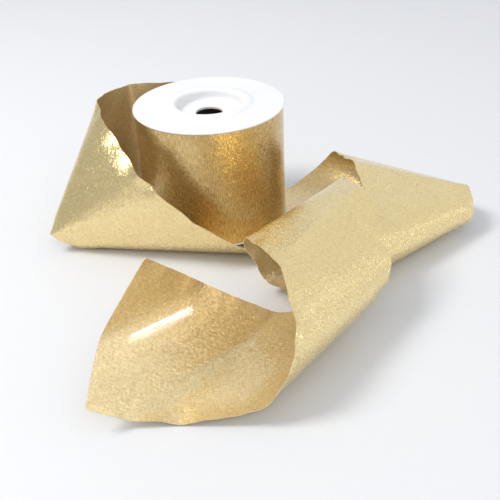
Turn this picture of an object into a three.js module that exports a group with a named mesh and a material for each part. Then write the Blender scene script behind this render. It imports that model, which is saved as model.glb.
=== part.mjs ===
// A spool of metallic gift ribbon with its loose end lying in loops round it.
//
// The spool stands upright on its own ribbon. Two moulded flanges plug into the two ends of a core tube,
// the ribbon is wound on the core between them, and the outermost turn leaves the roll at the back. The
// loose end makes a tall cone-shaped loop on the left, passes flat under the spool, makes a low loop on
// the right and a second one in front of it, and ends in a cut edge.
//
// Millimetres, +Z up, the floor is z = 0 and the origin is the middle of the whole footprint. Lengths
// along the ribbon are measured on its middle line from the point where it passes under the spool:
// positive towards the cut end, negative towards the roll.

import * as THREE from "three";

// ---------- driving dimensions ----------

const RIBBON_WIDTH = 50;
const RIBBON_THICKNESS = 0.3;
const SECTION_GAP = 0.3; // between two neighbouring lengths of ribbon

const FLANGE_RADIUS = 31.7;
const FLANGE_THICKNESS = 0.7;
const FLANGE_GAP = 50.4; // between the two flanges' inner faces
const LIP_HEIGHT = 1; // how far the rounded lip round the hub stands out of the flange
const LIP_FOOT_RADIUS = 19;
const LIP_CREST_RADIUS = 16;
const CUP_MOUTH_RADIUS = 13.9;
const CUP_FLOOR_RADIUS = 13.2;
const CUP_DEPTH = 4.8; // from the crest of the lip to the floor of the cup, at the spindle hole
const CUP_FLOOR_RISE = 0.7; // the floor of the cup rises this much from the hole to the wall
const CUP_WALL = 1.1;
const SPINDLE_RADIUS = 5.6;
const SPIGOT_RADIUS = 16.6; // the ring that plugs into the core
const SPIGOT_WALL = 1.2;
const SPIGOT_LENGTH = 7;
const SPOOL_BASE_Z = 0.55; // the spool stands on the ribbon that passes under it
const SPOOL_AXIS = [-20, 50.7]; // seen from the middle of the footprint

const CORE_WALL = 1.6;
const CORE_CLEARANCE = 0.3; // round the spigots and at the two ends of the core
const TAPE_THICKNESS = 0.2;
const TAPE_ARC = 60; // degrees of the core that the tape covers
const TAPE_WIDTH = 40;
const ROLL_RADIUS = 30.4; // of the turns that spin with the core
const ROLL_WIDTH = 49.6;
const OUTER_TURN_RADIUS = 31; // to the middle of the ribbon

const ROUND_SEGMENTS = 48;
const RIBBON_STEP = 3; // longest facet along the ribbon

// ---------- the path of the loose ribbon ----------

// Where the ribbon passes under the spool it lies flat, with its outer face down.
const START_HEADING = 26.5; // degrees from +X
const START_OFFSET = 23; // its middle line passes this far in front of the spool's axis
const START_HEIGHT = 0.3;

const LEAVES_ROLL_AT = -173.1;
const CUT_AT = 377;
const CUT_SLANT = 0.12; // the cut runs this much further along for each step across
const CORNER_BLUNTING = 0.5; // the sharp last corner at the cut ends this far early
const WRAP_TURN = 345;
const WRAP_LENGTH = THREE.MathUtils.degToRad(WRAP_TURN) * OUTER_TURN_RADIUS;
const PATH_STEP = 1; // the path is worked out in steps of about this length
const EASE = 0.6; // a bend is this much softer at its two ends than in its middle; 0 is a plain arc

// Each bend turns the ribbon towards its inner face, about straight lines that lie across it. Its middle
// is at length "at" and it is spread over "over". "skew" is the angle between those lines and square
// across, at the bend's start and at its end, and "turn" is the angle turned. All angles are in degrees.
const BENDS = [
  { at: LEAVES_ROLL_AT - WRAP_LENGTH / 2, over: WRAP_LENGTH, skew: [0, 0], turn: WRAP_TURN, ease: 0 },
  { at: -140.6, over: 28.9, skew: [34.3, -22.4], turn: 56.3 }, // away from the roll
  { at: -95.1, over: 24.3, skew: [-48.5, -11.9], turn: 85.5 }, // round the far side of the left loop
  { at: -66.5, over: 21, skew: [1, 39], turn: 49.5 }, // the leaning face of the left loop
  { at: -33.5, over: 45, skew: [39, 59.5], turn: 85 }, // folded under
  { at: 58.5, over: 19.5, skew: [40.5, 39], turn: 41 }, // up off the floor, right of the spool
  { at: 80, over: 22, skew: [38.5, 30.5], turn: 116.5 }, // over the top of the back loop
  { at: 103, over: 6.5, skew: [16.5, 3.5], turn: 22.5 },
  { at: 142.5, over: 42, skew: [-27, -44.5], turn: 164.5 }, // folded under again
  { at: 189, over: 17, skew: [-25.5, -28.5], turn: 89.5 }, // up, just in front of the spool
  { at: 221, over: 37, skew: [-35.5, -20], turn: 82 }, // over the top of the front loop
  { at: 249.5, over: 3.5, skew: [-34.5, -39], turn: 49 },
  { at: 291, over: 54.5, skew: [-19.5, -44.5], turn: 143 }, // down and under for the last time
  { at: 335.5, over: 12.5, skew: [-34, -45], turn: 53.5 }, // the free end curls up
  { at: 356, over: 15.5, skew: [-45, -48], turn: 12.5 },
  { at: 373, over: 14, skew: [-49.5, -35.5], turn: 35.5 },
];

const slopeOf = (skew) => Math.tan(THREE.MathUtils.degToRad(skew));

// The lines across the ribbon reach past CUT_AT, because they lie askew and the cut is nearly square.
const CUT_SPREAD = CUT_SLANT - slopeOf(BENDS.at(-1).skew[1]);
const LAST_LINE_AT = CUT_AT + (CUT_SPREAD * RIBBON_WIDTH) / 2 - CORNER_BLUNTING;

// The lengths of ribbon that the path is cut into, each a simple shape.
const RIBBON_SECTIONS = [
  { name: "ribbon_outer_turn", from: LEAVES_ROLL_AT - WRAP_LENGTH, to: -175 },
  { name: "ribbon_lead_off", from: -175, to: -109 },
  { name: "ribbon_left_loop_side", from: -109, to: -79 },
  { name: "ribbon_left_loop_front", from: -79, to: -54 },
  { name: "ribbon_left_loop_fold", from: -54, to: -11 },
  { name: "ribbon_under_spool", from: -11, to: 48 },
  { name: "ribbon_back_loop_rise", from: 48, to: 80 },
  { name: "ribbon_back_loop_top", from: 80, to: 120 },
  { name: "ribbon_back_loop_down", from: 120, to: 142 },
  { name: "ribbon_back_loop_fold", from: 142, to: 163 },
  { name: "ribbon_front_loop_rise", from: 163, to: 203 },
  { name: "ribbon_front_loop_top", from: 203, to: 250 },
  { name: "ribbon_front_loop_down", from: 250, to: 290 },
  { name: "ribbon_front_loop_fold", from: 290, to: 320 },
  { name: "ribbon_tail", from: 320, to: 350 },
  { name: "ribbon_free_end", from: 350, to: LAST_LINE_AT },
];

// ---------- materials ----------

const goldRibbon = () => new THREE.MeshStandardMaterial({ color: 0xcfae72, roughness: 0.42, metalness: 0.65 });
const whitePlastic = () => new THREE.MeshStandardMaterial({ color: 0xf2f3f4, roughness: 0.45, metalness: 0 });
const brownCard = () => new THREE.MeshStandardMaterial({ color: 0x8c6b4d, roughness: 0.9, metalness: 0 });
const clearTape = () => new THREE.MeshStandardMaterial({ color: 0xe9e4d4, roughness: 0.3, metalness: 0 });

// ---------- the ribbon as a sheet that only bends ----------

// The slope of the straight lines across the ribbon at one length: exact in a bend, even between two.
function lineSlope(length) {
  const marks = BENDS.flatMap(({ at, over, skew }) => [
    [at - over / 2, slopeOf(skew[0])],
    [at + over / 2, slopeOf(skew[1])],
  ]);
  const next = marks.findIndex(([mark]) => mark > length);
  if (next < 0) return marks.at(-1)[1];
  if (next === 0) return marks[0][1];
  const [[fromLength, fromSlope], [toLength, toSlope]] = [marks[next - 1], marks[next]];
  return THREE.MathUtils.mapLinear(length, fromLength, toLength, fromSlope, toSlope);
}

// The angle in radians that a bend has turned by a given length.
function turnedBy({ at, over, turn, ease = EASE }, length) {
  const share = THREE.MathUtils.clamp((length - at) / over + 0.5, 0, 1);
  const eased = share - (ease * Math.sin(2 * Math.PI * share)) / (2 * Math.PI);
  return THREE.MathUtils.degToRad(turn) * eased;
}

// Walks the path from under the spool to one of its ends. A station holds the point on the middle line,
// the direction along the ribbon, the direction across it and the slope of the line across.
function walkPath(end) {
  const heading = THREE.MathUtils.degToRad(START_HEADING);
  const along = new THREE.Vector3(Math.cos(heading), Math.sin(heading), 0);
  const across = new THREE.Vector3(Math.sin(heading), -Math.cos(heading), 0);
  const point = across.clone().multiplyScalar(START_OFFSET).setZ(START_HEIGHT);
  const steps = Math.ceil(Math.abs(end) / PATH_STEP);
  const stride = end / steps;
  const stations = [{ length: 0, point, along, across, slope: lineSlope(0) }];
  for (let i = 0; i < steps; i++) {
    const last = stations.at(-1);
    const length = last.length + stride;
    const angle = BENDS.reduce((sum, bend) => sum + turnedBy(bend, length) - turnedBy(bend, last.length), 0);
    const slope = lineSlope((last.length + length) / 2);
    const axis = last.across.clone().addScaledVector(last.along, slope).normalize();
    const midway = last.along.clone().applyAxisAngle(axis, angle / 2);
    stations.push({
      length,
      point: last.point.clone().addScaledVector(midway, stride),
      along: last.along.clone().applyAxisAngle(axis, angle),
      across: last.across.clone().applyAxisAngle(axis, angle),
      slope: lineSlope(length),
    });
  }
  return stations;
}

const stations = [...walkPath(LEAVES_ROLL_AT - WRAP_LENGTH).reverse(), ...walkPath(LAST_LINE_AT).slice(1)];

// How far a line reaches from the middle of the ribbon on its lower side: to the edge, or to the cut.
function lowerReach(length, slope) {
  const edge = -RIBBON_WIDTH / 2;
  return length < CUT_AT - RIBBON_WIDTH ? edge : Math.max(edge, (length - CUT_AT) / (CUT_SLANT - slope));
}

// A point of the sheet: a length along it, a place on the line across it from -1 to 1, and a height
// above its middle surface on the outer side.
function sheetPoint(length, across, height) {
  const upper = stations.findIndex((station) => station.length >= length - 1e-6);
  const b = stations[Math.max(upper, 1)];
  const a = stations[Math.max(upper, 1) - 1];
  const share = THREE.MathUtils.clamp((length - a.length) / (b.length - a.length), 0, 1);
  const point = a.point.clone().lerp(b.point, share);
  const along = a.along.clone().lerp(b.along, share).normalize();
  const side = a.across.clone().lerp(b.across, share).normalize();
  const normal = along.clone().cross(side);
  const slope = THREE.MathUtils.lerp(a.slope, b.slope, share);
  const reach = THREE.MathUtils.mapLinear(across, -1, 1, lowerReach(length, slope), RIBBON_WIDTH / 2);
  return point.addScaledVector(side, reach).addScaledVector(along, reach * slope).addScaledVector(normal, height);
}

// ---------- meshes ----------

function mesh(name, geometry, material) {
  const made = new THREE.Mesh(geometry, material);
  made.name = name;
  return made;
}

// A length of ribbon: a long flat box whose corners are moved to the bent sheet.
function ribbonSection({ name, from, to }) {
  const start = from + SECTION_GAP / 2;
  const span = to - from - SECTION_GAP;
  const geometry = new THREE.BoxGeometry(1, 2, RIBBON_THICKNESS, Math.ceil(span / RIBBON_STEP), 2, 1);
  const corners = geometry.getAttribute("position");
  for (let i = 0; i < corners.count; i++) {
    const at = sheetPoint(start + (corners.getX(i) + 0.5) * span, corners.getY(i), corners.getZ(i));
    corners.setXYZ(i, at.x, at.y, at.z);
  }
  return mesh(name, geometry, goldRibbon());
}

// A solid of revolution about Z, from a closed outline of [radius, height] points.
function turned(name, outline, material, sweep = 2 * Math.PI) {
  const points = [...outline, outline[0]].map(([radius, height]) => new THREE.Vector2(radius, height));
  const geometry = new THREE.LatheGeometry(points, ROUND_SEGMENTS, 0, sweep);
  geometry.rotateX(Math.PI / 2);
  return mesh(name, geometry, material);
}

const tube = (name, inner, outer, width, material) =>
  turned(name, [[inner, 0], [outer, 0], [outer, width], [inner, width]], material);

// One flange, its inner face at z = 0: a thin disc with a rounded lip, a cup with the spindle hole in
// its dished floor, and the spigot that plugs into the core.
function flange(name) {
  const top = FLANGE_THICKNESS;
  const crest = top + LIP_HEIGHT;
  const floor = crest - CUP_DEPTH;
  const wallFoot = floor + CUP_FLOOR_RISE;
  return turned(
    name,
    [
      [FLANGE_RADIUS, 0],
      [FLANGE_RADIUS, top],
      [LIP_FOOT_RADIUS, top],
      [LIP_FOOT_RADIUS - 1.4, top + LIP_HEIGHT * 0.65],
      [LIP_CREST_RADIUS, crest],
      [LIP_CREST_RADIUS - 1.3, crest - 0.05],
      [CUP_MOUTH_RADIUS, crest - 0.7],
      [CUP_FLOOR_RADIUS + 0.2, wallFoot + 0.6],
      [CUP_FLOOR_RADIUS - 0.5, wallFoot],
      [SPINDLE_RADIUS, floor],
      [SPINDLE_RADIUS, floor - CUP_WALL],
      [CUP_FLOOR_RADIUS + 0.3, wallFoot - CUP_WALL],
      [CUP_FLOOR_RADIUS + 1.2, -CUP_WALL],
      [SPIGOT_RADIUS - SPIGOT_WALL, -CUP_WALL],
      [SPIGOT_RADIUS - SPIGOT_WALL, -SPIGOT_LENGTH],
      [SPIGOT_RADIUS, -SPIGOT_LENGTH],
      [SPIGOT_RADIUS, 0],
    ],
    whitePlastic(),
  );
}

// The strip of tape that holds the ribbon's inner end on the core: an arc of a thin ring.
function coreTape(innerRadius) {
  const outerRadius = innerRadius + TAPE_THICKNESS;
  const arc = THREE.MathUtils.degToRad(TAPE_ARC);
  const outline = new THREE.Shape();
  outline.absarc(0, 0, outerRadius, 0, arc, false);
  outline.absarc(0, 0, innerRadius, arc, 0, true);
  const geometry = new THREE.ExtrudeGeometry(outline, { depth: TAPE_WIDTH, bevelEnabled: false, curveSegments: 8 });
  return mesh("core_tape", geometry, clearTape());
}

// ---------- the assembly ----------

const spool = new THREE.Group();
const innerFaceZ = SPOOL_BASE_Z + LIP_HEIGHT + FLANGE_THICKNESS;

const upperFlange = flange("upper_flange");
upperFlange.position.z = innerFaceZ + FLANGE_GAP;

const lowerFlange = flange("lower_flange");
lowerFlange.rotation.x = Math.PI;
lowerFlange.position.z = innerFaceZ;

const coreInner = SPIGOT_RADIUS + CORE_CLEARANCE;
const coreOuter = coreInner + CORE_WALL;
const core = tube("core_tube", coreInner, coreOuter, FLANGE_GAP - 2 * CORE_CLEARANCE, brownCard());
core.position.z = innerFaceZ + CORE_CLEARANCE;

const tape = coreTape(coreOuter + CORE_CLEARANCE);
tape.position.z = innerFaceZ + (FLANGE_GAP - TAPE_WIDTH) / 2;

const rollInner = coreOuter + 2 * CORE_CLEARANCE + TAPE_THICKNESS;
const roll = tube("wound_ribbon", rollInner, ROLL_RADIUS, ROLL_WIDTH, goldRibbon());
roll.position.z = innerFaceZ + (FLANGE_GAP - ROLL_WIDTH) / 2;

spool.add(upperFlange, lowerFlange, core, tape, roll);

const looseRibbon = new THREE.Group();
looseRibbon.add(...RIBBON_SECTIONS.map(ribbonSection));

const ribbonSpool = new THREE.Group();
ribbonSpool.add(spool, looseRibbon);
ribbonSpool.position.set(SPOOL_AXIS[0], SPOOL_AXIS[1], 0);

export default ribbonSpool;
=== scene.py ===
# A spool of metallic gift ribbon standing upright, with its loose end laid out in loops: the looks, built
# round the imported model. Shapes are worked out in millimetres and handed to Blender in metres.

import math

import bpy
import numpy as np
from mathutils import Matrix, Vector


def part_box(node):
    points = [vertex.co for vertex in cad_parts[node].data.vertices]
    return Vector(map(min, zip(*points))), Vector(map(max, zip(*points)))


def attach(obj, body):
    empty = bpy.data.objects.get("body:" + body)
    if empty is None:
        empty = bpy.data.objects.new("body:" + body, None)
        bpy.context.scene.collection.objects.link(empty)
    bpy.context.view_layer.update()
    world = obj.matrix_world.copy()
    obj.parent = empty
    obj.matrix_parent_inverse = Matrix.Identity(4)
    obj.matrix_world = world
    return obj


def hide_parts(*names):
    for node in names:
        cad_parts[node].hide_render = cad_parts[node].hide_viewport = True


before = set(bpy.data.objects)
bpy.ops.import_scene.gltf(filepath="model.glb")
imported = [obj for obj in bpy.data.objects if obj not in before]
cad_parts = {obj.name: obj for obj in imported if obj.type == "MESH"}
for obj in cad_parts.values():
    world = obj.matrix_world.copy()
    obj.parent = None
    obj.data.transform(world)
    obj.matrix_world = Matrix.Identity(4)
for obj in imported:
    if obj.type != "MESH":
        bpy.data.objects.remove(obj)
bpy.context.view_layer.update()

MM = 0.001


def box_in_mm(node):
    return [np.array(corner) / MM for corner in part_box(node)]


UPPER_LO, UPPER_HI = box_in_mm("upper_flange")
AXIS = (UPPER_LO[:2] + UPPER_HI[:2]) / 2  # of the spool, seen from above

# ---------- camera ----------

CAMERA_FROM_AXIS = (19.9, -297.3)  # mm from the spool's axis, along X and Y
CAMERA_HEIGHT = 169.2
CAMERA_YAW, CAMERA_PITCH, CAMERA_ROLL = -1.1, 32.5, -2.9  # degrees: from +Y to +X, down, anticlockwise
CAMERA_LENS = 54.04  # mm, on Blender's standard 36 mm sensor
CAMERA_NEAR = 0.01  # metres


def make_camera():
    place = Vector((AXIS[0] + CAMERA_FROM_AXIS[0], AXIS[1] + CAMERA_FROM_AXIS[1], CAMERA_HEIGHT)) * MM
    yaw, pitch, roll = (math.radians(angle) for angle in (CAMERA_YAW, CAMERA_PITCH, CAMERA_ROLL))
    ahead = Vector((math.sin(yaw), math.cos(yaw), 0))
    forward = ahead * math.cos(pitch) - Vector((0, 0, math.sin(pitch)))
    level = Vector((math.cos(yaw), -math.sin(yaw), 0))
    upright = level.cross(forward)
    right = level * math.cos(roll) + upright * math.sin(roll)
    up = upright * math.cos(roll) - level * math.sin(roll)
    data = bpy.data.cameras.new("camera")
    data.lens = CAMERA_LENS
    data.clip_start = CAMERA_NEAR
    camera = bpy.data.objects.new("camera", data)
    turned = Matrix((right, up, -forward)).transposed().to_4x4()
    camera.matrix_world = Matrix.Translation(place) @ turned
    bpy.context.scene.collection.objects.link(camera)
    bpy.context.scene.camera = camera


make_camera()

# ---------- materials ----------


class Nodes:
    """A material and its node tree, with short calls for the nodes that repeat."""

    def __init__(self, name):
        self.material = bpy.data.materials.new(name)
        self.material.use_nodes = True
        self.tree = self.material.node_tree
        self.shader = self.tree.nodes["Principled BSDF"]

    def node(self, kind, inputs=(), **settings):
        made = self.tree.nodes.new("ShaderNode" + kind)
        for key, value in settings.items():
            setattr(made, key, value)
        for key, value in dict(inputs).items():
            self.feed(made.inputs[key], value)
        return made

    def feed(self, socket, value):
        if isinstance(value, bpy.types.NodeSocket):
            self.tree.links.new(value, socket)
        else:
            socket.default_value = value

    def set(self, **inputs):
        for key, value in inputs.items():
            self.feed(self.shader.inputs[key.replace("_", " ")], value)

    def math(self, operation, a, b=0.0):
        return self.node("Math", {0: a, 1: b}, operation=operation).outputs[0]

    def vector(self, operation, a, b):
        return self.node("VectorMath", {0: a, 1: b}, operation=operation).outputs[0]

    def noise(self, at, scale, detail, stretch=(1, 1, 1)):
        placed = self.vector("MULTIPLY", at, stretch)
        return self.node("TexNoise", {"Vector": placed, "Scale": scale, "Detail": detail}).outputs["Fac"]

    def span(self, value, low, high, to_low=0.0, to_high=1.0):
        inputs = {"Value": value, "From Min": low, "From Max": high, "To Min": to_low, "To Max": to_high}
        return self.node("MapRange", inputs).outputs[0]

    def mix(self, share, a, b):
        made = self.node("Mix", data_type="RGBA")
        for index, value in ((0, share), (6, a), (7, b)):
            self.feed(made.inputs[index], value)
        return made.outputs[2]

    def bump(self, height, distance, strength, normal=None):
        inputs = {"Height": height, "Distance": distance, "Strength": strength}
        if normal is not None:
            inputs["Normal"] = normal
        return self.node("Bump", inputs).outputs[0]


def rgb(red, green, blue):
    return (red, green, blue, 1.0)


THREAD = 0.38  # mm between two threads of the weave
THREAD_STRETCH = 0.15  # how slowly the noise changes along a thread, against across it
WEAVE_RELIEF = 0.02  # mm
CLOUD_SCALE = 0.11  # per mm, of the slow changes of tone
SPECK = (0.6, 0.32)  # mm along and across one glittering facet of the metallic yarn
ROLL_COLOUR_AND_SHADE_SPAN = (-150.0, -172.0)  # lengths where the ribbon starts and has finished taking the roll's colours: deeper for the many layers, and darker with painted shade and painted reflection of the gold round it
ROLL_GLITTER = 0.55  # share of the glitter that shows on the roll


def lame(name, deep, pale, metal, roughness, glitter, coat, wound_and_shaded=None):
    """Metallic ribbon: a fine plain weave whose flat yarns glitter, in the ribbon's own flat coordinates.

    deep and pale are the two colours of the weave; the last argument is the same pair where it lies on the
    roll, deeper for the many layers and darker and more orange with painted shade and painted reflection.
    """
    n = Nodes(name)
    at = n.vector("MULTIPLY", n.node("UVMap", uv_map="ribbon").outputs[0], (1 / MM, 1 / MM, 1 / MM))
    along, across = n.node("SeparateXYZ", {0: at}).outputs[:2]
    warp = n.noise(at, 1 / THREAD, 1.0, (THREAD_STRETCH, 1, 1))
    weft = n.noise(at, 1 / THREAD, 1.0, (1, THREAD_STRETCH, 1))
    threads = n.math("MULTIPLY", n.math("ADD", warp, weft), 0.5)
    on_shaded_roll = n.span(along, *ROLL_COLOUR_AND_SHADE_SPAN) if wound_and_shaded else 0.0
    cloud = n.noise(at, CLOUD_SCALE, 3.0)
    tone = n.math("ADD", n.span(threads, 0.36, 0.64, 0.0, 0.84), n.span(cloud, 0.3, 0.7, 0.0, 0.16))
    colour = n.mix(tone, deep, pale)
    # On the roll the colours turn to the roll's pair: partly the deeper colour of many layers, partly
    # painted shade and painted reflection of the gold round it.
    if wound_and_shaded:
        ribs = n.math("ADD", n.span(weft, 0.34, 0.66, 0.0, 0.8), n.span(cloud, 0.3, 0.7, 0.0, 0.2))
        colour = n.mix(on_shaded_roll, colour, n.mix(ribs, *wound_and_shaded))
    cells = n.vector("MULTIPLY", at, (1 / SPECK[0], 1 / SPECK[1], 1))
    speck = n.node("TexVoronoi", {"Vector": cells, "Scale": 1.0}).outputs["Color"]
    lean = n.vector("SUBTRACT", speck, (0.5, 0.5, 0.5))
    strength = n.span(on_shaded_roll, 0.0, 1.0, glitter, ROLL_GLITTER * glitter)
    tilt = n.node("VectorMath", {0: lean, "Scale": strength}, operation="SCALE").outputs[0]
    plain = n.node("NewGeometry").outputs["Normal"]
    facets = n.node("VectorMath", {0: n.vector("ADD", plain, tilt)}, operation="NORMALIZE").outputs[0]
    over, under = (n.math("SINE", n.math("MULTIPLY", flat, math.pi / THREAD)) for flat in (along, across))
    weave = n.math("ADD", n.math("MULTIPLY", over, under), threads)
    n.set(
        Base_Color=colour,
        Metallic=metal,
        Roughness=n.span(threads, 0.3, 0.7, roughness + 0.06, roughness - 0.06),
        Normal=n.bump(weave, WEAVE_RELIEF * MM, 0.6, facets),
        Coat_Weight=coat,
        Coat_Roughness=0.06,
        Coat_IOR=1.5,
        Coat_Normal=n.bump(threads, WEAVE_RELIEF * MM, 0.25),
    )
    return n.material


def white_plastic(name):
    """Moulded white plastic: soft gloss, a faint ripple and fine scuffs."""
    n = Nodes(name)
    at = n.node("TexCoord").outputs["Object"]
    ripple = n.noise(at, 60.0, 2.0)
    scuffs = n.noise(at, 400.0, 3.0, (1, 0.25, 1))
    n.set(
        Base_Color=n.mix(n.span(ripple, 0.3, 0.7), rgb(0.77, 0.77, 0.785), rgb(0.80, 0.80, 0.81)),
        Roughness=n.span(scuffs, 0.3, 0.75, 0.30, 0.40),
        Normal=n.bump(ripple, 0.05 * MM, 0.3),
        Subsurface_Weight=0.15,
        Subsurface_Scale=0.001,
    )
    return n.material


def card(name, light, dark):
    """Brown card: fibres that run up the tube, and slow blotches."""
    n = Nodes(name)
    at = n.node("TexCoord").outputs["Object"]
    fibres = n.noise(at, 700.0, 5.0, (1, 1, 0.3))
    blotches = n.noise(at, 60.0, 2.0)
    tone = n.math("ADD", n.math("MULTIPLY", fibres, 0.7), n.math("MULTIPLY", blotches, 0.3))
    n.set(
        Base_Color=n.mix(tone, dark, light),
        Roughness=0.9,
        Normal=n.bump(fibres, 0.08 * MM, 0.6),
    )
    return n.material


def tape(name):
    """Slightly yellowed adhesive tape with a faint grain."""
    n = Nodes(name)
    at = n.node("TexCoord").outputs["Object"]
    grain = n.noise(at, 1500.0, 3.0)
    n.set(
        Base_Color=n.mix(grain, rgb(0.80, 0.74, 0.60), rgb(0.88, 0.85, 0.76)),
        Roughness=n.span(grain, 0.3, 0.7, 0.22, 0.34),
        Normal=n.bump(grain, 0.02 * MM, 0.4),
    )
    return n.material


# The outer face; its last pair is the roll's colours: deeper for the many layers, and darker and more
# orange with painted shade and painted reflection.
OUTER = lame(
    "lame_outer", deep=rgb(0.77, 0.59, 0.28), pale=rgb(0.97, 0.80, 0.42),
    metal=0.85, roughness=0.27, glitter=0.30, coat=0.25,
    wound_and_shaded=(rgb(0.50, 0.333, 0.122), rgb(0.79, 0.58, 0.265)),
)
INNER = lame(
    "lame_inner", deep=rgb(0.70, 0.53, 0.25), pale=rgb(0.95, 0.79, 0.46),
    metal=0.7, roughness=0.36, glitter=0.26, coat=0.7,
)
EDGE = lame(
    "lame_edge", deep=rgb(0.55, 0.42, 0.22), pale=rgb(0.85, 0.70, 0.42),
    metal=0.6, roughness=0.5, glitter=0.2, coat=0.0,
)
WHITE = white_plastic("moulded_white")
CARD = card("core_card", light=rgb(0.42, 0.28, 0.17), dark=rgb(0.26, 0.16, 0.09))
TAPE = tape("core_tape_film")

# ---------- meshes ----------

SHARP_ANGLE = 50  # degrees; a mesh is shaded smooth across any edge that bends less


def make_object(name, vertices, faces, materials, face_materials=None):
    mesh = bpy.data.meshes.new(name)
    mesh.from_pydata((np.asarray(vertices) * MM).tolist(), [], [list(map(int, face)) for face in faces])
    for material in materials:
        mesh.materials.append(material)
    if face_materials is not None:
        mesh.polygons.foreach_set("material_index", np.asarray(face_materials, np.int32))
    mesh.polygons.foreach_set("use_smooth", [True] * len(mesh.polygons))
    mesh.set_sharp_from_angle(angle=math.radians(SHARP_ANGLE))
    made = bpy.data.objects.new(name, mesh)
    bpy.context.scene.collection.objects.link(made)
    return made


# ---------- the ribbon's path: a sheet that only bends ----------

# Lengths along the ribbon are measured on its middle line from the point where it passes under the spool:
# positive towards the cut end, negative towards the roll.

RIBBON_WIDTH = 50
RIBBON_THICKNESS = 0.26  # leaves a small gap to the roll under it
START_HEADING = 26.5  # degrees from +X, where it passes under the spool with its outer face down
START_OFFSET = 23  # its middle line passes this far in front of the spool's axis
START_HEIGHT = 0.3  # of its middle surface above the floor
LEAVES_ROLL_AT = -173.1
CUT_AT = 377
CUT_SLANT = 0.12  # the cut runs this much further along for each step across
OUTER_TURN_RADIUS = 31  # to the middle of the ribbon
WRAP_TURN = 345  # degrees of the roll that the outermost turn covers
WRAP_LENGTH = math.radians(WRAP_TURN) * OUTER_TURN_RADIUS
EASE = 0.6  # a bend is this much softer at its two ends than in its middle; 0 is a plain arc

# Each bend turns the ribbon about straight lines that lie across it: its middle and its spread along the
# ribbon, the angle between those lines and square across at its start and at its end, the angle that it
# turns, and its ease. Angles are in degrees.
BENDS = [
    (LEAVES_ROLL_AT - WRAP_LENGTH / 2, WRAP_LENGTH, 0, 0, WRAP_TURN, 0),
    (-140.6, 28.9, 34.3, -22.4, 56.3, EASE),
    (-95.1, 24.3, -48.5, -11.9, 85.5, EASE),
    (-66.5, 21, 1, 39, 49.5, EASE),
    (-33.5, 45, 39, 59.5, 85, EASE),
    (58.5, 19.5, 40.5, 39, 41, EASE),
    (80, 22, 38.5, 30.5, 116.5, EASE),
    (103, 6.5, 16.5, 3.5, 22.5, EASE),
    (142.5, 42, -27, -44.5, 164.5, EASE),
    (189, 17, -25.5, -28.5, 89.5, EASE),
    (221, 37, -35.5, -20, 82, EASE),
    (249.5, 3.5, -34.5, -39, 49, EASE),
    (291, 54.5, -19.5, -44.5, 143, EASE),
    (335.5, 12.5, -34, -45, 53.5, EASE),
    (356, 15.5, -45, -48, 12.5, EASE),
    (373, 14, -49.5, -35.5, 35.5, EASE),
]

CUT_SPREAD = CUT_SLANT - math.tan(math.radians(BENDS[-1][3]))  # of the cut, against the last bend's lines
LAST_LINE_GAP = 0.1  # the last line stops this far before the cut's sharp corner
LAST_LINE_AT = CUT_AT + CUT_SPREAD * RIBBON_WIDTH / 2 - LAST_LINE_GAP


def line_slope(length):
    """The slope of the straight line across the ribbon, at a length along it."""
    marks = [mark for at, over, *_ in BENDS for mark in (at - over / 2, at + over / 2)]
    slopes = [math.tan(math.radians(skew)) for bend in BENDS for skew in bend[2:4]]
    return float(np.interp(length, marks, slopes))


def turned_by(length):
    """The angle in radians that all the bends have turned by a length along the ribbon."""
    total = 0.0
    for at, over, _, _, turn, ease in BENDS:
        share = min(max((length - at) / over + 0.5, 0), 1)
        total += math.radians(turn) * (share - ease * math.sin(2 * math.pi * share) / (2 * math.pi))
    return total


def walk_path(end):
    """Stations on the middle line from under the spool to one end: length, point, along, across, slope."""
    heading = math.radians(START_HEADING)
    along = Vector((math.cos(heading), math.sin(heading), 0))
    across = Vector((math.sin(heading), -math.cos(heading), 0))
    point = across * START_OFFSET + Vector((AXIS[0], AXIS[1], START_HEIGHT))
    steps = math.ceil(abs(end))
    stride = end / steps
    stations = [(0.0, point, along, across, line_slope(0))]
    for i in range(steps):
        before = i * stride
        length = (i + 1) * stride
        angle = turned_by(length) - turned_by(before)
        axis = (across + along * line_slope((before + length) / 2)).normalized()
        half_turn = Matrix.Rotation(angle / 2, 3, axis)
        whole_turn = Matrix.Rotation(angle, 3, axis)
        point = point + half_turn @ along * stride
        along, across = whole_turn @ along, whole_turn @ across
        stations.append((length, point, along, across, line_slope(length)))
    return stations


def whole_path():
    """Arrays of the lengths, points, directions and slopes of all stations, from the roll to the cut."""
    stations = walk_path(LEAVES_ROLL_AT - WRAP_LENGTH)[::-1] + walk_path(LAST_LINE_AT)[1:]
    return [np.array([np.array(value) for value in part]) for part in zip(*stations)]


# ---------- the ribbon ----------

COLUMNS = 45  # of vertices across the ribbon
EDGE_FALLOFF = 1.6  # how sharply the waves and curls rise towards the edge
KINK_REACH = 9  # mm in from each long edge
KINK_DRIFT = (0.8, 0.31)  # strength and pace of the wandering that makes the kinks uneven
KINK_PHASE = 1.7  # from one wave length to the next
FAR_EDGE_SHIFT = 0.37  # of a wave, so the two edges differ
KINKS = [(9.3, 0.18), (15.7, 0.36), (27.1, 0.42)]  # wave length and height in mm
CREASE = 0.94  # 0 makes the kinks round, 1 makes them sharp folds
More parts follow.
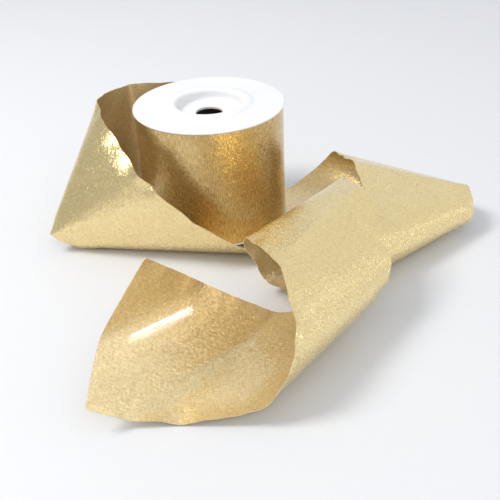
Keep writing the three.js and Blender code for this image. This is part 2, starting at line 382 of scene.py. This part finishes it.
# Where a rim curls: place and spread along the ribbon, reach from the rim, and depth, which is towards the
# inner face where it is above 0 and outwards where it is below.
CURLS = [
    (-83, 4, 7, 1.5),
    (-71.5, 4.5, 7, 1.7),
    (-56, 3, 6, 1.8),
    (245, 8, 10, -2.4),
]
RUFFLE = (318, 374, 16.5, 1.6, 11)  # start, end, wave length, height and reach of the tail's loose edge
RUFFLE_FALLOFF = 1.8
QUIET = [(-400, -168), (-24, 56)]  # lengths that lie against the roll or under the spool
QUIET_FADE = 9  # mm over which the kinks start beyond them
LOWEST = 0.16  # mm, of the middle surface above the floor


def quietness(lengths):
    """0 where the ribbon is held flat, 1 where it is free."""
    free = np.ones_like(lengths)
    for low, high in QUIET:
        away = np.maximum(low - lengths, lengths - high)
        free = np.minimum(free, np.clip(away / QUIET_FADE, 0, 1))
    return free * free * (3 - 2 * free)


def rim_curls(flat_u, flat_v):
    """Height of the places where the rims of the loops curl back or spread."""
    height = np.zeros_like(flat_u)
    for at, over, reach, depth in CURLS:
        near = np.clip((flat_v - (RIBBON_WIDTH / 2 - reach)) / reach, 0, 1) ** EDGE_FALLOFF
        height -= depth * near * np.exp(-(((flat_u - at) / over) ** 2))
    return height


def edge_kinks(flat_u, flat_v):
    """Height of the small waves that handling leaves along the ribbon's long edges."""
    near = np.clip((np.abs(flat_v) - (RIBBON_WIDTH / 2 - KINK_REACH)) / KINK_REACH, 0, 1) ** EDGE_FALLOFF
    side = np.where(flat_v > 0, 0.0, 1.0)
    strength, pace = KINK_DRIFT
    height = np.zeros_like(flat_u)
    for i, (wave, size) in enumerate(KINKS):
        phase = 2 * math.pi * (flat_u / wave + side * FAR_EDGE_SHIFT * (i + 1)) + KINK_PHASE * i
        drifting = phase + strength * np.sin(phase * pace)
        height += size * np.arcsin(CREASE * np.sin(drifting)) / math.asin(CREASE)
    return near * height * quietness(flat_u)


def tail_ruffle(flat_u, flat_v):
    """Height of the waves in the edge that lies loose on the floor beside the cut."""
    start, end, wave, size, reach = RUFFLE
    near = np.clip((-flat_v - (RIBBON_WIDTH / 2 - reach)) / reach, 0, 1) ** RUFFLE_FALLOFF
    held = np.clip(np.minimum(flat_u - start, end - flat_u) / wave, 0, 1)
    return -size * near * held * (0.5 + 0.5 * np.sin(2 * math.pi * flat_u / wave))


def ribbon_surface():
    """The ribbon's middle surface as a grid of points, with its normals and its flat coordinates."""
    lengths, points, along, across, slopes = whole_path()
    edge = RIBBON_WIDTH / 2
    cut_reach = np.maximum(-edge, (lengths - CUT_AT) / (CUT_SLANT - slopes))
    lowest = np.where(lengths < CUT_AT - RIBBON_WIDTH, -edge, cut_reach)[:, None]
    flat_v = lowest + (edge - lowest) * np.linspace(0, 1, COLUMNS)[None, :]
    flat_u = lengths[:, None] + flat_v * slopes[:, None]
    line = across + slopes[:, None] * along
    normal = np.cross(along, across)[:, None]
    waves = edge_kinks(flat_u, flat_v) + rim_curls(flat_u, flat_v) + tail_ruffle(flat_u, flat_v)
    middle = points[:, None] + flat_v[..., None] * line[:, None] + waves[..., None] * normal
    middle[..., 2] = np.maximum(middle[..., 2], LOWEST)
    return middle, normal, flat_u, flat_v


def make_ribbon():
    middle, normal, flat_u, flat_v = ribbon_surface()
    rows = len(middle)
    count = rows * COLUMNS
    half = RIBBON_THICKNESS / 2
    vertices = np.concatenate([(middle + side * half * normal).reshape(-1, 3) for side in (1, -1)])

    index = np.arange(count).reshape(rows, COLUMNS)
    corners = [index[:-1, :-1], index[1:, :-1], index[1:, 1:], index[:-1, 1:]]
    outer = np.stack(corners, -1).reshape(-1, 4)
    inner = outer[:, ::-1] + count
    rim = np.concatenate([index[:, 0], index[-1, 1:], index[-2::-1, -1], index[0, -2:0:-1]])
    following = np.roll(rim, -1)
    edge = np.stack([following, rim, rim + count, following + count], -1)
    faces = np.concatenate([outer, inner, edge])
    kinds = np.repeat([0, 1, 2], [len(outer), len(inner), len(edge)])
    made = make_object("gold_ribbon", vertices, faces, [OUTER, INNER, EDGE], kinds)

    flat = np.stack([flat_u, flat_v], -1).reshape(-1, 2) * MM
    layer = made.data.uv_layers.new(name="ribbon")
    at_vertex = np.empty(len(made.data.loops), np.int32)
    made.data.loops.foreach_get("vertex_index", at_vertex)
    layer.data.foreach_set("uv", flat[at_vertex % count].ravel())
    return made


# ---------- turned pieces ----------

ROUND_SEGMENTS = 192
SHORT_SIDE_SHARE = 0.45  # the most of a short side that a rounded corner takes up


def rounded(outline, steps=5):
    """A closed outline of (radius, height, rounding) with each corner replaced by a short curve."""
    points = []
    for i, (radius, height, rounding) in enumerate(outline):
        here = np.array([radius, height])
        before = np.array(outline[i - 1][:2]) - here
        after = np.array(outline[(i + 1) % len(outline)][:2]) - here
        if rounding <= 0:
            points.append(here)
            continue
        to_before = np.linalg.norm(before)
        to_after = np.linalg.norm(after)
        reach = min(rounding, SHORT_SIDE_SHARE * to_before, SHORT_SIDE_SHARE * to_after)
        start = here + before / to_before * reach
        end = here + after / to_after * reach
        for t in np.linspace(0, 1, steps):
            points.append((1 - t) ** 2 * start + 2 * t * (1 - t) * here + t * t * end)
    return np.array(points)


def turn(name, outline, material, at_z, flip=False):
    """A solid of revolution on the spool's axis, from an outline that runs anticlockwise."""
    profile = rounded(outline)
    count = len(profile)
    angles = np.linspace(0, 2 * math.pi, ROUND_SEGMENTS, endpoint=False)
    ring = np.stack([np.cos(angles), np.sin(angles)], -1)
    heights = at_z + (-1 if flip else 1) * profile[:, 1]
    flat = ring[:, None] * profile[None, :, :1] + AXIS
    vertices = np.concatenate([flat, np.broadcast_to(heights[None, :, None], flat.shape[:2] + (1,))], -1)
    faces = []
    for i in range(ROUND_SEGMENTS):
        j = (i + 1) % ROUND_SEGMENTS
        for k in range(count):
            m = (k + 1) % count
            face = [i * count + k, j * count + k, j * count + m, i * count + m]
            faces.append(face[::-1] if flip else face)
    made = make_object(name, vertices.reshape(-1, 3), faces, [material])
    weighted = made.modifiers.new("weighted", "WEIGHTED_NORMAL")
    weighted.keep_sharp = True
    return made


FLANGE_RADIUS = 31.7
FLANGE_THICKNESS = 0.7
LIP_HEIGHT = 1.0
LIP_FOOT_RADIUS = 19.2
LIP_SHOULDER_RADIUS = 17.4
LIP_SHOULDER_DROP = 0.18  # below the crest of the lip, as the next two are
LIP_CREST_RADIUS = 15.6
LIP_INNER_RADIUS = 14.3
LIP_INNER_DROP = 0.12
CUP_MOUTH_RADIUS = 13.5
CUP_MOUTH_DROP = 1.0
CUP_FLOOR_RADIUS = 13.2
CUP_DEPTH = 4.8  # from the crest of the lip to the floor of the cup, at the spindle hole
CUP_FLOOR_RISE = 0.7  # the floor of the cup rises this much from the hole to the wall
CUP_WALL = 1.1
CUP_UNDERSIDE_RADII = (13.5, 14.5)  # of the cup's outside, at its foot and at its top
SPINDLE_RADIUS = 5.6
SPIGOT_RADIUS = 16.6  # the ring that plugs into the core
SPIGOT_WALL = 1.2
SPIGOT_LENGTH = 7
CORE_CLEARANCE = 0.3  # round the spigots
CORE_ROUNDING = 0.2


def flange_outline():
    """Radius, height above the flange's inner face and rounding of each corner, from the rim inwards."""
    top = FLANGE_THICKNESS
    crest = top + LIP_HEIGHT
    floor = crest - CUP_DEPTH
    foot = floor + CUP_FLOOR_RISE
    inner = SPIGOT_RADIUS - SPIGOT_WALL
    cup_foot, cup_top = CUP_UNDERSIDE_RADII
    return [
        (FLANGE_RADIUS, 0, 0.3),
        (FLANGE_RADIUS, top, 0.35),
        (LIP_FOOT_RADIUS, top, 1.1),
        (LIP_SHOULDER_RADIUS, crest - LIP_SHOULDER_DROP, 1.0),
        (LIP_CREST_RADIUS, crest, 0.8),
        (LIP_INNER_RADIUS, crest - LIP_INNER_DROP, 0.6),
        (CUP_MOUTH_RADIUS, crest - CUP_MOUTH_DROP, 0.9),
        (CUP_FLOOR_RADIUS, foot, 1.1),
        (SPINDLE_RADIUS, floor, 0.25),
        (SPINDLE_RADIUS, floor - CUP_WALL, 0.2),
        (cup_foot, foot - CUP_WALL, 0.6),
        (cup_top, -CUP_WALL, 0.4),
        (inner, -CUP_WALL, 0.3),
        (inner, -SPIGOT_LENGTH, 0.3),
        (SPIGOT_RADIUS, -SPIGOT_LENGTH, 0.4),
        (SPIGOT_RADIUS, 0, 0.3),
    ]


def make_flanges():
    """The two flanges, each placed by the end of its spigot inside the core."""
    upper_face = UPPER_LO[2] + SPIGOT_LENGTH
    lower_face = box_in_mm("lower_flange")[1][2] - SPIGOT_LENGTH
    over = turn("upper_flange_moulding", flange_outline(), WHITE, upper_face)
    under = turn("lower_flange_moulding", flange_outline(), WHITE, lower_face, flip=True)
    return over, under


def make_core():
    lo, hi = box_in_mm("core_tube")
    height = hi[2] - lo[2]
    bore = SPIGOT_RADIUS + CORE_CLEARANCE
    rim = (hi[0] - lo[0]) / 2
    corners = ((bore, 0), (rim, 0), (rim, height), (bore, height))
    outline = [(radius, level, CORE_ROUNDING) for radius, level in corners]
    return turn("core_card_tube", outline, CARD, lo[2])


ROLL_INNER = 19.3
ROLL_RADIUS = 30.75
LAYERS = 40  # ridges that stand for the turns' edges at the two ends of the roll
LAYER_DIP = 0.12
ROLL_PATTERN_AT = -600  # the length of ribbon whose pattern the roll shows, beyond the outermost turn, where the roll's colours with their painted shade apply in full


def make_roll():
    """The turns under the outermost one: a smooth side, and turn upon turn at its two ends."""
    low, high = (corner[2] for corner in box_in_mm("wound_ribbon"))
    radii = np.linspace(ROLL_RADIUS, ROLL_INNER, 2 * LAYERS + 1)
    dips = np.where(np.arange(len(radii)) % 2 == 0, LAYER_DIP, 0.0)
    top = [(radius, high - low - dip, 0) for radius, dip in zip(radii, dips)]
    bottom = [(radius, dip, 0) for radius, dip in zip(radii[::-1], dips[::-1])]
    made = turn("wound_turns", top + bottom, OUTER, low)
    layer = made.data.uv_layers.new(name="ribbon")
    for loop in made.data.loops:
        x, y, z = made.data.vertices[loop.vertex_index].co / MM
        angle = math.atan2(y - AXIS[1], x - AXIS[0])
        flat_u = angle * ROLL_RADIUS + ROLL_PATTERN_AT
        flat_v = z - (low + high) / 2
        layer.data[loop.index].uv = (flat_u * MM, flat_v * MM)
    return made


ribbon = make_ribbon()
upper, lower = make_flanges()
core = make_core()
roll = make_roll()

RIBBON_NODES = [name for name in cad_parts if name.startswith("ribbon_")]
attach(ribbon, "loose_ribbon")
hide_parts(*RIBBON_NODES)
for piece, node, slot in (
    (upper, "upper_flange", "white_plastic"),
    (lower, "lower_flange", "white_plastic"),
    (core, "core_tube", "core_card"),
    (roll, "wound_ribbon", "gold_ribbon"),
):
    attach(piece, "spool")
    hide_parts(node)

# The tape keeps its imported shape.
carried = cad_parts["core_tape"]
carried.data.materials.clear()
carried.data.materials.append(TAPE)

# ---------- floor and light ----------

FLOOR_REACH = 4000  # mm from the middle to each side


def make_floor():
    n = Nodes("studio_floor")
    at = n.node("TexCoord").outputs["Object"]
    grain = n.noise(at, 260.0, 4.0)
    n.set(
        Base_Color=n.mix(grain, rgb(0.70, 0.71, 0.74), rgb(0.72, 0.73, 0.755)),
        Roughness=0.7,
        Normal=n.bump(grain, 0.1 * MM, 0.2),
    )
    corners = [(x * FLOOR_REACH, y * FLOOR_REACH, 0) for x, y in ((-1, -1), (1, -1), (1, 1), (-1, 1))]
    floor = make_object("floor", corners, [(0, 1, 2, 3)], [n.material])


DARK_SIDE = Vector((-1, 0.1, 0.2)).normalized()  # the direction in which the surroundings are dimmest
DARK_SIDE_RANGE = (0.25, 0.97)  # cosine of the angle from it where the dimming starts and is complete
SOFT_LIGHT = (0.82, 0.36)  # brightness of the surroundings, elsewhere and on that side
GLINT_AT = (-0.033, -0.0544, 0.0205)  # metres, the middle of the bright streak on the tail


def area_light(name, azimuth, elevation, away, size, radiance, colour, aim=(0, 0, 0), spread=180):
    """A lamp that faces the point aim from a direction in degrees, from +X and above the horizon.

    away and size, its width and height, are in metres. radiance is how bright its face looks straight on.
    """
    light = bpy.data.lights.new(name, "AREA")
    light.shape = "RECTANGLE"
    light.size, light.size_y = size
    light.spread = math.radians(spread)
    focus = 1  # how much a narrow spread brightens the lamp
    if spread < 180:
        half = light.spread / 2
        focus = math.tan(half) / (math.tan(half) - half)
    light.energy = radiance * math.pi * size[0] * size[1] / focus
    light.color = colour
    lamp = bpy.data.objects.new(name, light)
    turned, raised = math.radians(azimuth), math.radians(elevation)
    flat = Vector((math.cos(turned), math.sin(turned), 0))
    direction = flat * math.cos(raised) + Vector((0, 0, math.sin(raised)))
    lamp.location = Vector(aim) + direction * away
    lamp.rotation_euler = direction.to_track_quat("Z", "Y").to_euler()
    lamp.visible_camera = False
    bpy.context.scene.collection.objects.link(lamp)
    return lamp


def make_surroundings():
    """Soft white light from all round, dimmer towards DARK_SIDE."""
    world = bpy.data.worlds.new("studio")
    bpy.context.scene.world = world
    world.use_nodes = True
    tree = world.node_tree
    background = tree.nodes["Background"]
    background.inputs["Color"].default_value = rgb(0.95, 0.975, 1.0)
    facing = tree.nodes.new("ShaderNodeVectorMath")
    facing.operation = "DOT_PRODUCT"
    facing.inputs[1].default_value = DARK_SIDE
    level = tree.nodes.new("ShaderNodeMapRange")
    for socket, value in zip(("From Min", "From Max", "To Min", "To Max"), (*DARK_SIDE_RANGE, *SOFT_LIGHT)):
        level.inputs[socket].default_value = value
    tree.links.new(tree.nodes.new("ShaderNodeTexCoord").outputs["Generated"], facing.inputs[0])
    tree.links.new(facing.outputs["Value"], level.inputs["Value"])
    tree.links.new(level.outputs[0], background.inputs["Strength"])


def make_lamps():
    area_light(
        "key", azimuth=184, elevation=55, away=1.0, size=(0.34, 0.34), radiance=17, colour=(1.0, 0.98, 0.95)
    )
    area_light(
        "low_lamp", azimuth=8, elevation=16, away=1.0, size=(0.15, 0.15), radiance=1.8,
        colour=(1.0, 1.0, 0.97), spread=60,
    )
    area_light(
        "fill", azimuth=-70, elevation=45, away=1.2, size=(0.7, 0.5), radiance=2.0, colour=(1.0, 0.99, 0.97)
    )
    glint = area_light(
        "side_lamp", azimuth=-20.8, elevation=4.2, away=0.6, size=(0.075, 0.013), radiance=66,
        colour=(1.0, 1.0, 1.0), aim=GLINT_AT,
    )
    glint.data.use_shadow = False  # a glint only, so the loop in front of the lamp doesn't cut it short
    glint.data.cycles.use_multiple_importance_sampling = False
    lit = bpy.data.collections.new("lit_by_side_lamp")  # the ribbon, and not the floor beside the lamp
    lit.objects.link(ribbon)
    glint.light_linking.receiver_collection = lit


make_floor()
make_surroundings()
make_lamps()
view = bpy.context.scene.view_settings
view.view_transform = "Standard"
